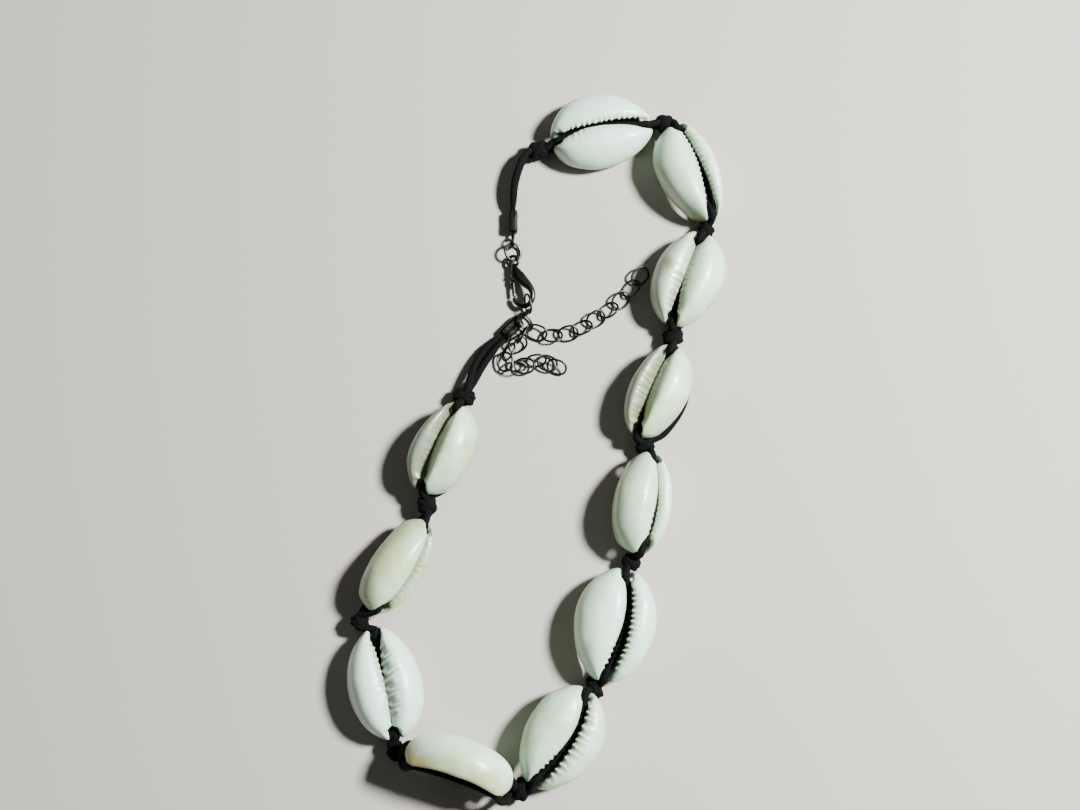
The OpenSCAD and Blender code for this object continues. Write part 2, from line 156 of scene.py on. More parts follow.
def gridPart(rings, closed=False, lengths=None):
    # rings of points, with faces between them and over open ends; the uv is the length along the
    # part and the share of the way round it
    rings = np.asarray(rings, float)
    count, sides = rings.shape[:2]
    faces = []
    for i in range(count if closed else count - 1):
        a, b = i * sides, ((i + 1) % count) * sides
        for j in range(sides):
            k = (j + 1) % sides
            faces.append((a + j, b + j, b + k, a + k))
    if not closed:
        faces += [tuple(range(sides - 1, -1, -1)), tuple((count - 1) * sides + j for j in range(sides))]
    uv = np.zeros((count * sides, 2))
    if lengths is not None:
        uv = np.stack([np.repeat(lengths, sides), np.tile(circleAngles(sides) / (2 * math.pi), count)], 1)
    return [rings.reshape(-1, 3), faces, {}, uv]


def curveAt(a, b, c, d, t):
    # between b and c, on a curve that comes from a and goes on to d
    square, cube = 2 * a - 5 * b + 4 * c - d, 3 * b - a - 3 * c + d
    return 0.5 * (2 * b + (c - a) * t + square * t * t + cube * t ** 3)


def smoothPath(points, steps):
    # a curve through the points, with so many steps between two of them
    p = np.asarray(points, float)
    p = np.concatenate([[2 * p[0] - p[1]], p, [2 * p[-1] - p[-2]]])
    out = [curveAt(*p[i:i + 4], k / steps) for i in range(len(p) - 3) for k in range(steps)]
    return np.array(out + [p[-2]])


# the rings that round a tube's end: how far out, and how wide, as shares of the radius
endRings = np.array([(0.45, 0.90), (0.78, 0.63), (0.97, 0.25)])


def roundedEnds(path, radii):
    before = path[0] + unit(path[0] - path[1]) * radii[0].min() * endRings[:, :1]
    after = path[-1] + unit(path[-1] - path[-2]) * radii[-1].min() * endRings[:, :1]
    radii = np.concatenate([radii[0] * endRings[::-1, 1:], radii, radii[-1] * endRings[:, 1:]])
    return np.concatenate([before[::-1], path, after]), radii


def carriedSides(path, closed=False, up=None):
    # two directions square to the path at each point, carried along it with the least turning
    ways = np.roll(path, -1, 0) - np.roll(path, 1, 0) if closed else np.gradient(path, axis=0)
    ways /= np.linalg.norm(ways, axis=1)[:, None]
    first = up if up is not None else ([0, 0, 1] if abs(ways[0][2]) < 0.9 else [1, 0, 0])
    over = [unit(first - ways[0] * np.dot(first, ways[0]))]
    for way in ways[1:]:
        last = over[-1] if up is None else np.array(up, float)
        over.append(unit(last - way * (last @ way)))
    over = np.array(over)
    if closed and up is None:
        # the turn left over at the join is spread along the whole loop
        last = over[-1] - ways[0] * (over[-1] @ ways[0])
        left = math.atan2(np.cross(last, over[0]) @ ways[0], last @ over[0])
        for i, way in enumerate(ways):
            a = left * i / len(path)
            over[i] = over[i] * math.cos(a) + np.cross(way, over[i]) * math.sin(a)
    return np.cross(ways, over), over


def tubeParts(path, radii, sides, closed=False, up=None, ply=None, roundEnds=True):
    # a tube along a path; radii is one radius, one a point, or rows of half width and half height
    path = np.asarray(path, float)
    radii = np.asarray(radii, float)
    if radii.ndim < 2:
        radii = np.broadcast_to(radii, len(path))[:, None] * [1.0, 1.0]
    if not closed and roundEnds:
        path, radii = roundedEnds(path, radii)
    across, over = carriedSides(path, closed, up)
    length = np.concatenate([[0], np.cumsum(np.linalg.norm(np.diff(path, axis=0), axis=1))])
    angle = circleAngles(sides)
    swell = 1.0
    if ply:
        swell = 1 + ply["depth"] * np.cos(ply["count"] * (angle - ply["twist"] * length[:, None]))
    x, y = np.cos(angle) * radii[:, :1] * swell, np.sin(angle) * radii[:, 1:] * swell
    points = path[:, None] + across[:, None] * x[..., None] + over[:, None] * y[..., None]
    return gridPart(points, closed, length)


# Materials

# Cowrie: aragonite, laid down by the animal and worn by the sea. Gives a porcelain gloss, greenish
# ivory with olive and cream clouds, and brown dust in the grooves between the teeth.
# The dark olive that some lips are painted with is partly their own hue and partly painted shade; the lower
# flanks are painted creamier and more olive as painted shade.
shellFinish = {
    "ivory": "#CAE8D8", "cream": "#B6C794", "olive": "#767B4C", "shade": "#4C4F38", "groove": "#595634",
    "stain": "#A9852A", "rough": "#7A7245", "inside": "#62573F", "cut": "#BFC29B",
    "cloudSize": 7.0, "speckSize": 0.9, "grainSize": 0.35,  # mm
    "ior": 1.55, "roughness": 0.36, "coat": 0.22, "coatRoughness": 0.20,
    "roughMore": 0.35,       # added to the roughness of the rough spots
}
# Waxed cotton cord: braided and drawn through wax. Black and dull, the pits between the raised yarns painted
# darker as painted shade.
cordFinish = {
    "pit": "#010101", "yarn": "#060707",
    "yarnWidth": 0.75,       # mm; the real 0.4 would be too fine to show
    "yarns": 4,              # round the cord, each way
    "fuzzSize": 0.3, "fuzzShare": 1.6,   # mm; height beside a yarn's
    "ior": 1.50, "roughness": 0.85, "specular": 0.12,
}
# Gunmetal: black nickel plated on brass and zinc. Gives a dark mirror that is warm where it wears.
gunmetalFinish = {
    "dark": "#232322", "plate": "#393A37", "worn": "#575853",
    "stops": (0.36, 0.50, 0.72),         # values of the noise that have these colours
    "patchSize": 2.4,        # mm
    "roughness": 0.30,
}
# Crimped sheet: the same plating, cracked and mottled where the sheet was folded
crimpFinish = {
    "plate": "#2A2A29", "pit": "#0D0D0C", "patchSize": 0.9,  # mm
    "roughness": 0.42,
}
# Painted board: matt emulsion, rolled on. Gives a plain pale ground with no reflections.
floorFinish = {"colour": "#B0AAA4", "roughness": 0.8}


def newMaterial(name):
    material = bpy.data.materials.new(name)
    material.use_nodes = True
    tree = material.node_tree
    shader = tree.nodes["Principled BSDF"]
    return material, tree, shader


def addNoise(tree, size, detail, roughness=0.5):
    # an unevenness of so many mm
    place = addNode(tree, "ShaderNodeTexCoord").outputs["Object"]
    settings = {"Scale": 1000 / size, "Detail": detail, "Roughness": roughness}
    return addNode(tree, "ShaderNodeTexNoise", settings, {"Vector": place}).outputs["Fac"]


def addLayers(tree, shader, f, base, shares):
    # the base colour with the others over it, each by its share. In a Mix node, 0 is the share,
    # 6 and 7 are the two colours and output 2 is what they give
    under = {}
    for name, share in shares.items():
        colours = {"data_type": "RGBA", 6: toLinear(f[base]), 7: toLinear(f[name])}
        mix = addNode(tree, "ShaderNodeMix", colours, {0: share, **under})
        under = {6: mix.outputs[2]}
    tree.links.new(mix.outputs[2], shader.inputs["Base Color"])


def addRelief(tree, shader, height, strength, depth):
    # depth in mm
    relief = addNode(tree, "ShaderNodeBump", {"Strength": strength, "Distance": depth * mm},
                     {"Height": height})
    tree.links.new(relief.outputs["Normal"], shader.inputs["Normal"])


def cowrieShell(f):
    material, tree, shader = newMaterial("cowrieShell")
    # tone and shade carry painted shade: creamier, more olive lower flanks, and a dark olive on some lips
    # that is partly their own hue
    masks = {name: addNode(tree, "ShaderNodeAttribute", {"attribute_name": name}).outputs["Fac"]
             for name in ("tone", "shade", "groove", "inside", "rough", "stain", "cut")}
    clouds = addNoise(tree, f["cloudSize"], 4, 0.55)
    cloudShare = addNode(tree, "ShaderNodeMapRange",
                         {"From Min": 0.35, "From Max": 0.70, "To Min": 0.35, "To Max": 1.6},
                         {"Value": clouds})
    creamShare = addNode(tree, "ShaderNodeMath", {"operation": "MULTIPLY", "use_clamp": True},
                         {0: cloudShare.outputs["Result"], 1: masks.pop("tone")})
    speckShare = addNode(tree, "ShaderNodeMapRange", {"From Min": 0.60, "From Max": 0.78, "To Max": 0.38},
                         {"Value": addNoise(tree, f["speckSize"], 3, 0.6)})
    layers = {"cream": creamShare.outputs[0], "olive": speckShare.outputs["Result"], **masks}
    addLayers(tree, shader, f, "ivory", layers)
    gloss = addNode(tree, "ShaderNodeMapRange",
                    {"To Min": f["roughness"] - 0.06, "To Max": f["roughness"] + 0.16}, {"Value": clouds})
    rough = addNode(tree, "ShaderNodeMath", {"operation": "MULTIPLY_ADD", 1: f["roughMore"]},
                    {0: masks["rough"], 2: gloss.outputs["Result"]})
    tree.links.new(rough.outputs[0], shader.inputs["Roughness"])
    addRelief(tree, shader, addNoise(tree, f["grainSize"], 3), 0.25, 0.03)
    shader.inputs["IOR"].default_value = f["ior"]
    shader.inputs["Coat Weight"].default_value = f["coat"]
    shader.inputs["Coat Roughness"].default_value = f["coatRoughness"]
    return material


def waxedCotton(f):
    material, tree, shader = newMaterial("waxedCotton")
    uv = addNode(tree, "ShaderNodeUVMap", {"uv_map": "along"}).outputs["UV"]
    # yarns wind both ways round the cord: two slanted waves
    split = addNode(tree, "ShaderNodeSeparateXYZ", None, {"Vector": uv})
    waves = []
    for way in (1, -1):
        along = addNode(tree, "ShaderNodeMath", {"operation": "MULTIPLY", 1: math.pi / f["yarnWidth"]},
                        {0: split.outputs["X"]})
        slanted = addNode(tree, "ShaderNodeMath",
                          {"operation": "MULTIPLY_ADD", 1: way * 2 * math.pi * f["yarns"]},
                          {0: split.outputs["Y"], 2: along.outputs[0]})
        wave = addNode(tree, "ShaderNodeMath", {"operation": "COSINE"}, {0: slanted.outputs[0]})
        waves.append(wave.outputs[0])
    braid = addNode(tree, "ShaderNodeMath", {"operation": "MAXIMUM"}, {0: waves[0], 1: waves[1]})
    height = addNode(tree, "ShaderNodeMath", {"operation": "MULTIPLY_ADD", 1: f["fuzzShare"]},
                     {0: addNoise(tree, f["fuzzSize"], 4, 0.7), 2: braid.outputs[0]})
    share = addNode(tree, "ShaderNodeMapRange", {"From Min": 0.0, "From Max": 2.4},
                    {"Value": height.outputs[0]}).outputs["Result"]
    # painted shade: darker where the braid lies lower
    addLayers(tree, shader, f, "pit", {"yarn": share})
    addRelief(tree, shader, share, 0.7, 0.12)
    shader.inputs["Roughness"].default_value = f["roughness"]
    shader.inputs["IOR"].default_value = f["ior"]
    shader.inputs["Specular IOR Level"].default_value = f["specular"]
    return material


def gunmetalPlate(f):
    material, tree, shader = newMaterial("gunmetalPlate")
    patches = addNoise(tree, f["patchSize"], 5, 0.6)
    wear = addNode(tree, "ShaderNodeValToRGB", None, {"Fac": patches})
    elements = wear.color_ramp.elements
    elements.new(f["stops"][1])
    for element, stop, name in zip(elements, f["stops"], ("dark", "plate", "worn")):
        element.position = stop
        element.color = toLinear(f[name])
    tree.links.new(wear.outputs["Color"], shader.inputs["Base Color"])
    rough = addNode(tree, "ShaderNodeMapRange",
                    {"To Min": f["roughness"] + 0.12, "To Max": f["roughness"] - 0.08}, {"Value": patches})
    tree.links.new(rough.outputs["Result"], shader.inputs["Roughness"])
    shader.inputs["Metallic"].default_value = 1.0
    return material


def crimpedSheet(f):
    material, tree, shader = newMaterial("crimpedSheet")
    share = addNode(tree, "ShaderNodeMapRange", {"From Min": 0.4, "From Max": 0.62},
                    {"Value": addNoise(tree, f["patchSize"], 6, 0.7)}).outputs["Result"]
    addLayers(tree, shader, f, "pit", {"plate": share})
    addRelief(tree, shader, share, 0.5, 0.06)
    shader.inputs["Roughness"].default_value = f["roughness"]
    shader.inputs["Metallic"].default_value = 1.0
    return material


shellMaterial = cowrieShell(shellFinish)
cordMaterial = waxedCotton(cordFinish)
metalMaterial = gunmetalPlate(gunmetalFinish)
crimpMaterial = crimpedSheet(crimpFinish)
print("materials made")

# Shells

# One row a shell, in mm and degrees: place of its middle, heading of its narrow (rear) end, lean of
# its slot towards the toothed lip, length, half width of each lip and how much wider it is to the
# rear, height, sideways bend of the slot, depth of the valley about the slot as a share of the
# height, lengthwise hollow of the cut back, and how far its colour is from white.
shellColumns = ("x", "y", "yaw", "lean", "length", "toothed", "toothedTaper", "smooth", "smoothTaper",
                "height", "bend", "valley", "arch", "tone")
shellRows = [
    (15.4, 73.7, 191, 0, 25.6, 10.0, 0.15, 8.6, 0.10, 9.6, -1.0, 0.00, 0.0, 0.05),
    (37.8, 63.7, 110, 10, 25.8, 5.8, 0.00, 8.9, 0.18, 9.6, -0.6, 0.05, 0.0, 0.35),
    (35.5, 36.8, -109, 9, 24.6, 8.2, 0.05, 8.6, -0.15, 9.4, -0.3, 0.12, 0.0, 0.45),
    (27.5, 9.4, -112, 18, 24.0, 6.2, 0.12, 7.9, -0.15, 9.4, -0.3, 0.20, 0.0, 0.60),
    (25.1, -17.4, 83, 30, 24.6, 5.7, 0.00, 7.7, -0.14, 9.4, -0.6, 0.05, 0.0, 0.45),
    (17.7, -45.7, 78, 7, 27.0, 9.4, 0.05, 9.6, 0.08, 10.0, -1.7, 0.00, 0.0, 0.20),
    (4.9, -71.0, 59, 10, 25.4, 9.6, 0.06, 8.3, 0.10, 9.8, -1.7, 0.00, 0.0, 0.50),
    (-17.7, -76.6, -19, -98, 25.8, 8.5, 0.00, 8.5, 0.00, 10.0, -0.5, 0.00, 1.0, 0.40),
    (-35.3, -58.8, -78, 4, 26.4, 8.8, 0.05, 8.5, 0.12, 9.8, 0.4, 0.08, 0.0, 0.00),
    (-32.1, -32.3, 61, 50, 24.8, 5.1, 0.00, 6.4, -0.25, 9.0, -0.5, 0.05, 0.0, 0.70),
    (-23.0, -4.3, -112, 22, 23.2, 6.8, 0.28, 8.0, -0.05, 9.4, -0.5, 0.20, 0.0, 0.70),
]
shells = [dict(zip(shellColumns, row)) for row in shellRows]
# One row a shell: half width of its slot in mm at these shares of the slot, from the front (-1) to
# the rear (1). Outside them it widens into the notches.
slotStops = (-0.75, -0.4, 0.0, 0.4, 0.75)
slotRows = [
    (1.05, 0.80, 0.55, 0.45, 0.75), (0.95, 0.80, 0.50, 0.30, 0.30), (0.12, 0.08, 0.08, 0.35, 0.75),
    (0.10, 0.08, 0.08, 0.12, 0.60), (0.35, 0.45, 0.35, 0.12, 0.10), (1.20, 1.25, 1.00, 0.85, 0.80),
    (1.20, 1.10, 0.85, 0.70, 0.80), (0.50, 0.50, 0.50, 0.50, 0.50), (0.70, 0.35, 0.08, 0.08, 0.15),
    (0.10, 0.08, 0.08, 0.08, 0.10), (0.16, 0.10, 0.10, 0.12, 0.30),
]
# One row a lip, the toothed one and then the smooth one of each shell: how far the teeth stand out
# in mm, depth of the ribs behind them in mm and how far out they run, the stretch of the slot that
# has them from the front (-1) to the rear (1), their pitch and waviness in mm, height of a fine
# unevenness in mm, and how much dark olive the lip is painted with: partly its own hue and
# partly painted shade.
lipColumns = ("teeth", "ribs", "reach", "first", "last", "pitch", "wave", "grain", "shade")
lipRows = [
    (0.34, 0.06, 0.10, -0.95, 0.80, 1.40, 0.10, 0.00, 0.00),
    (0.04, 0.14, 0.40, 0.25, 0.95, 1.50, 0.15, 0.00, 0.00),
    (0.16, 0.09, 0.30, -0.90, 0.95, 1.20, 0.20, 0.05, 0.00),
    (0.28, 0.05, 0.10, -0.90, 0.90, 1.30, 0.10, 0.00, 0.05),
    (0.12, 0.14, 0.42, -0.10, 0.90, 1.50, 0.25, 0.03, 0.28),
    (0.16, 0.08, 0.16, -0.90, 0.90, 1.40, 0.10, 0.02, 0.08),
    (0.10, 0.11, 0.75, -0.90, 0.90, 1.50, 0.30, 0.04, 0.62),
    (0.05, 0.04, 0.20, -0.50, 0.90, 1.40, 0.10, 0.00, 0.00),
    (0.10, 0.03, 0.20, -0.90, 0.90, 1.20, 0.20, 0.06, 0.00),
    (0.24, 0.04, 0.10, -0.90, -0.10, 1.30, 0.10, 0.00, 0.10),
    (0.46, 0.14, 0.32, -0.95, 0.85, 1.37, 0.15, 0.03, 0.00),
    (0.36, 0.06, 0.12, -0.95, -0.30, 1.37, 0.10, 0.00, 0.00),
    (0.40, 0.20, 0.50, -0.95, 0.90, 1.60, 0.20, 0.03, 0.05),
    (0.34, 0.06, 0.12, -0.95, -0.20, 1.45, 0.10, 0.00, 0.05),
    (0.15, 0.05, 0.12, -0.90, 0.90, 1.40, 0.10, 0.00, 0.00),
    (0.15, 0.05, 0.12, -0.90, 0.90, 1.40, 0.10, 0.00, 0.00),
    (0.30, 0.10, 0.16, -0.95, 0.25, 1.35, 0.10, 0.00, 0.00),
    (0.14, 0.30, 0.62, -0.85, 0.75, 1.90, 0.60, 0.02, 0.00),
    (0.06, 0.06, 0.50, -0.90, 0.90, 1.40, 0.40, 0.09, 0.35),
    (0.04, 0.04, 0.10, -0.90, 0.90, 1.40, 0.10, 0.02, 0.10),
    (0.03, 0.03, 0.20, -0.90, 0.90, 1.40, 0.10, 0.00, 0.82),
    (0.03, 0.03, 0.12, -0.90, 0.90, 1.40, 0.10, 0.00, 0.05),
]
shellForm = {
    "steps": 480,            # round the slot
    "outlinePower": 1.12, "rearFullness": 0.58, "frontFullness": 0.70,
    "endTop": 0.34, "endLift": 2.35,     # share of the height, and mm, of the rims at the two ends
    # degrees from the ends where something starts, and over how many it comes in full
    "domeRise": (4, 12), "liftFall": (8, 32), "archRise": (20, 60), "valleyRise": (20, 25),
    "toothRise": (14, 12),
    "slotShare": 0.43,       # half the slot's length, as a share of the shell's
    "slotLeast": 0.04, "slotClosing": 13,                # mm; degrees from the ends
    "notchDepth": 1.5, "notchAngle": 7, "notchSlot": 1.35,   # mm, degrees, mm
    "rearNotch": (0.84, 0.11), "frontNotch": (0.70, 0.24),   # where the slot widens, over what share
    "bendSkew": 0.3,         # how much more the slot bends towards the rear
    "axisShare": 0.45,       # height of the line that a shell leans about
    "toothFade": 0.13,       # how far out the teeth reach, as a share of the lip
    "toothPlace": 0.55, "placeOver": 3.0,    # mm that teeth wander by, over mm of the slot
    "toothSize": 0.7, "sizeOver": 1.9,       # share that their size wanders by, over mm of the slot
    "toothOffset": 0.6,      # mm between the teeth of the two lips
    "toothRunOut": 0.15,     # share of the slot over which a row of teeth fades
    "toothSwing": (0.55, 1.1), "closedTeeth": 0.15,      # share of a tooth's height, where the slot is shut
    "ribPower": 1.4, "ribDepth": 1.3,        # how round a groove is, and its depth beside its row's
    "upperSide": (0.62, 0.2),                # share of the height where the upper side starts, over what
    "paintedShadeBelow": 0.85,       # share of the height under which the shell is painted creamier and more olive, as painted shade
    "paintedShadeCream": 0.6, "paintedShadeOlive": 0.25,     # how much more painted shade at its foot
    "slotBrownWidth": (0.12, 1.6), "slotBrownShare": (0.2, 1.5),   # brown by the slot: least, and more by its valley
    "slow": (0.16, 0.24),    # mm high and waves a mm: unevenness of the whole surface
    "grain": (0.035, 1.3),   # the same: fine unevenness, most on the lips
    "lipGrain": (0.3, 2.5), "lipReach": 0.45,    # its share everywhere, and more by the slot, over what
    "grit": 2.4,             # waves a mm of the unevenness that a lip's row gives
}
# section of the ring round the slot: share of the way out, share of the height, steps to the next
wallSection = [
    (0.00, 0.85, 5), (0.10, 0.965, 6), (0.30, 1.00, 6), (0.58, 0.96, 5), (0.81, 0.81, 3), (0.94, 0.63, 3),
    (1.00, 0.42, 3), (0.955, 0.20, 2), (0.84, 0.00, 2), (0.70, 0.00, 3), (0.80, 0.30, 3), (0.72, 0.58, 3),
    (0.40, 0.74, 4),
]
innerFrom = 38               # the sampled section's points from here on are inside the shell


def sampledSection(rows):
    n = len(rows)
    p = np.array([r[:2] for r in rows])
    out = []
    for i in range(n):
        a, b, c, d = p[i - 1], p[i], p[(i + 1) % n], p[(i + 2) % n]
        onCut = rows[i][1] == 0 and rows[(i + 1) % n][1] == 0
        for t in np.arange(rows[i][2]) / rows[i][2]:
            out.append(b + (c - b) * t if onCut else curveAt(a, b, c, d, t))
    out = np.array(out)
    out[:, 1] = np.maximum(out[:, 1], 0.0)
    return out


section = sampledSection(wallSection)


def fromEnd(degrees):
    a = np.abs((degrees + 180) % 360 - 180)
    return np.minimum(a, 180 - a)


def slotBend(s, u):
    return s["bend"] * (1 - u * u) * (1 + shellForm["bendSkew"] * u)


def slotHalf(s, u):
    f = shellForm
    half = np.interp(u, slotStops, s["slots"])
    rear, front = ramp(u, *f["rearNotch"]), ramp(-u, *f["frontNotch"])
    return half + (f["notchSlot"] - half) * np.where(u > 0, rear, front)


def leant(s, p):
    y, z = p[..., 1], p[..., 2] - shellForm["axisShare"] * s["height"]
    c, n = math.cos(math.radians(s["lean"])), math.sin(math.radians(s["lean"]))
    return np.stack([p[..., 0], y * c - z * n, y * n + z * c], -1)


def uneven(values, size, seed):
    # a slow wave without a beat, the same for the same values
    waves = [noise.noise(Vector((value / size, seed, 0.3))) for value in values.flat]
    return np.reshape(waves, values.shape)


def shellSurface(number, s):
    # the shell's own grid of points, before it leans and turns, and its colour masks: a row for each
    # step round the slot, a column for each point of the section
    f = shellForm
    degrees = 360 * np.arange(f["steps"])[:, None] / f["steps"]
    u, v = np.cos(np.radians(degrees)), np.sin(np.radians(degrees))
    end = fromEnd(degrees)
    toothed = v < 0
    lips = np.array(lipRows[2 * number - 2:2 * number])
    lip = {name: np.where(toothed, *pair) for name, pair in zip(lipColumns, lips.T)}
    out, rise = section.T

    # teeth: where each step is among them, and how far it stands out over the slot
    slotX = s["length"] * f["slotShare"] * u
    side = np.where(toothed, 1.0, -1.0)
    along = slotX + f["toothPlace"] * uneven(slotX + 40 * side, f["placeOver"], 7.1 * number) \
        + np.where(toothed, 0.0, f["toothOffset"])
    strength = 1 + f["toothSize"] * uneven(slotX + 90 * side, f["sizeOver"], 3.3 * number)
    inside = np.minimum(u - lip["first"], lip["last"] - u)
    here = smoothStep(inside / f["toothRunOut"]) * ramp(end, *f["toothRise"])
    half = np.maximum(slotHalf(s, u) * smoothStep(end / f["slotClosing"]), f["slotLeast"])
    tooth = 1 - np.abs(np.sin(math.pi * along / lip["pitch"]))
    toothShift = lip["teeth"] * strength * here * (f["toothSwing"][0] - f["toothSwing"][1] * tooth)
    toothShift = toothShift * (f["closedTeeth"] + (1 - f["closedTeeth"]) * smoothStep(half / 0.4))
    toothShift = np.sign(v) * np.maximum(toothShift, 0.03 - half)

    # outline, height and the lift of the two ends off the surface
    slotY = slotBend(s, u) + np.sign(v) * half
    outerX = np.sign(u) * (s["length"] / 2 * np.abs(u) - f["notchDepth"] * bump(end, f["notchAngle"]))
    lipWidth = np.where(toothed, s["toothed"], s["smooth"])
    taper = np.where(toothed, s["toothedTaper"], s["smoothTaper"])
    outerY = lipWidth * np.sign(v) * np.abs(v) ** f["outlinePower"] * (1 + taper * u)
    fullness = np.where(u > 0, f["rearFullness"], f["frontFullness"])
    dome = np.sin(np.radians(end)) ** fullness * ramp(end, *f["domeRise"])
    top = s["height"] * (f["endTop"] + (1 - f["endTop"]) * dome)
    lift = f["endLift"] * (1 - ramp(end, *f["liftFall"])) + s["arch"] * ramp(end, *f["archRise"])
    awayFromEnds = ramp(end, *f["valleyRise"])
    sinking = s["valley"] * (1 - smoothStep(out / 0.5)) * (rise >= 0.5) * awayFromEnds
    x = slotX + (outerX - slotX) * out
    y = slotY + (outerY - slotY) * out + toothShift * (1 - smoothStep(out / f["toothFade"]))
    z = lift + (top - lift) * (rise - sinking)

    # ribs: grooves that run out from between the teeth, and wander
    outside = (np.arange(len(section)) < innerFrom) * np.ones_like(z)
    above = ramp(rise, *f["upperSide"]) * outside
    nearSlot = 1 - ramp(out, 0.02, lip["reach"])
    wandering = along + lip["wave"] * np.sin(9 * out + 1.7 * along) * smoothStep(out / 0.15)
    groove = np.abs(np.sin(math.pi * wandering / lip["pitch"])) ** f["ribPower"] * here * nearSlot * above
    z = z - f["ribDepth"] * (lip["ribs"] * strength) * groove

    # browner by the slot, the more so the deeper the valley about it
    slotBrownWidth, slotBrownShare = [least + more * s["valley"] for least, more in (f["slotBrownWidth"], f["slotBrownShare"])]
    wear = (1 - smoothStep(out / slotBrownWidth)) * above * awayFromEnds * slotBrownShare
    # painted shade: the shell is painted creamier and more olive towards its foot
    low = (1 - smoothStep(rise / f["paintedShadeBelow"])) * outside
    return np.stack([x, y, z], -1), {
        "groove": np.clip(groove * lip["ribs"] * 2.5 + wear, 0, 1),
        "inside": 1 - outside,
        "cut": bump(rise * s["height"], 0.4) * (out > 0.6) * np.ones_like(z),
        # painted shade at the foot is added to the tone and to the dark olive of the lips
        "tone": s["tone"] + f["paintedShadeCream"] * low,
        "shade": np.clip(lip["shade"] + f["paintedShadeOlive"] * low, 0, 0.95) * outside,
        "grain": lip["grain"] * above,
    }


def placeShell(s, p):
    q = leant(s, p)
    c, n = heading(s["yaw"])[:2]
    return np.stack([s["x"] + q[..., 0] * c - q[..., 1] * n, s["y"] + q[..., 0] * n + q[..., 1] * c,
                     s["base"] + q[..., 2]], -1)


# marks: shell number, mask, place in the shell's own mm, size in mm, strength
marks = [
    (3, "rough", (-1.4, -4.4, 8.6), (2.1, 1.3, 2.2), 0.85),
    (3, "stain", (-1.1, -3.8, 8.8), (1.2, 0.6, 2.0), 0.12),
    (8, "stain", (-9.4, -6.6, 1.0), (3.0, 4.0, 2.1), 0.95),
    (8, "stain", (9.8, -6.0, 1.0), (0.9, 1.5, 0.7), 0.45),
    (8, "rough", (-10.6, -4.0, 4.0), (1.2, 1.6, 1.6), 0.3),
    (10, "rough", (1.4, -1.4, 7.6), (1.9, 0.9, 2.0), 0.45),
    (11, "rough", (-1.7, 6.4, 6.6), (1.5, 1.1, 1.6), 0.5),
    (11, "rough", (4.5, 4.6, 7.0), (2.2, 1.2, 1.8), 0.35),
    (7, "stain", (-3.0, 7.6, 4.5), (4.5, 1.2, 1.6), 0.12),
    (2, "stain", (-9.5, -3.5, 5.5), (1.5, 1.2, 1.6), 0.2),
]
# a hair-thin ring left on shell 5
hairRing = {"shell": 5, "place": (-0.3, 3.6), "radius": (1.5, 1.0), "width": 0.13, "strength": 0.5}


def addMarks(number, s, grid, masks):
    ragged = 1 + 0.35 * np.sin(1.3 * grid[..., 0] + 1.2 * np.sin(1.9 * grid[..., 1]))
    for shellNumber, mask, middle, size, strength in marks:
        if shellNumber == number:
            far = (((grid - middle) / size) ** 2).sum(-1)
            masks[mask] = np.maximum(masks.get(mask, 0.0), np.exp(-far * ragged) * strength)
    h = hairRing
    if number == h["shell"]:
        r = np.hypot(*[(grid[..., k] - h["place"][k]) / h["radius"][k] for k in (0, 1)])
        ring = bump((r - 1) * h["radius"][1], h["width"]) * (grid[..., 2] > 0.6 * s["height"])
        masks["rough"] = np.maximum(masks.get("rough", 0.0), ring * h["strength"])


def makeShell(number, s):
    f = shellForm
    grid, masks = shellSurface(number, s)
    s["base"] = -leant(s, grid)[..., 2].min()
    addMarks(number, s, grid, masks)
    points = placeShell(s, grid).reshape(-1, 3)
    outward = points - np.array([s["x"], s["y"], 4.0])
    outward /= np.linalg.norm(outward, axis=1)[:, None]
    seed = Vector((11.3 * number, 4.7, 2.1))
    slow, fine, grit = [np.array([noise.noise(Vector(p) * waves + seed) for p in points])
                        for waves in (f["slow"][1], f["grain"][1], f["grit"])]
    upper = (masks["inside"].ravel() < 0.5) * 1.0
    lipShare = np.clip(1 - np.tile(section[:, 0], len(grid)) / f["lipReach"], 0, 1) * upper
    fine = fine * (f["lipGrain"][0] + f["lipGrain"][1] * lipShare)
    shift = slow * f["slow"][0] + fine * f["grain"][0] + grit * masks.pop("grain").ravel()
    points = points + outward * (shift * upper)[:, None]
    points[:, 2] = np.maximum(points[:, 2], 0.0)
    part = gridPart(points.reshape(grid.shape), closed=True)
    part[2:] = {k: m.ravel() for k, m in masks.items()}, None
    obj = makeObject(f"cowrie_{number:02d}", [part], shellMaterial)
    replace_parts(obj, f"shell_{number:02d}")


for number, s in enumerate(shells, 1):
    s["slots"] = slotRows[number - 1]
    makeShell(number, s)
print("shells made")

# Cord

cordForm = {
    "radius": 0.9,           # mm
    "sides": 14,
    "ply": {"count": 3, "depth": 0.035, "twist": 1.5},  # strands, share of the radius, radians a mm
    "rise": 0.995,           # mm, of the upper strand over a knot's middle, and of the lower one under it
    "faceGap": 0.2, "intoKnot": 0.6,  # mm
    "notchHeight": 0.44,     # share of the shell's height where the strand passes a notch
    "backRise": 0.03,        # mm, the strand behind above the surface
    "endRise": 0.45,         # share of its rise that the strand behind has at the shell's ends
    # the strand in the slot from one end to the middle: share of the shell's length, share of its
    # height, and how much of the valley's depth it lies lower by
    "slotRun": [(0.43, 0.50, 0.0), (0.33, 0.50, 0.8), (0.17, 0.58, 0.8), (0.0, 0.60, 0.8)],
    # the strand behind: share of the shell's length, of its bow and of its rise
    "backRun": [(0.34, 0.75, 0.90), (0.0, 1.0, 1.0)],
}
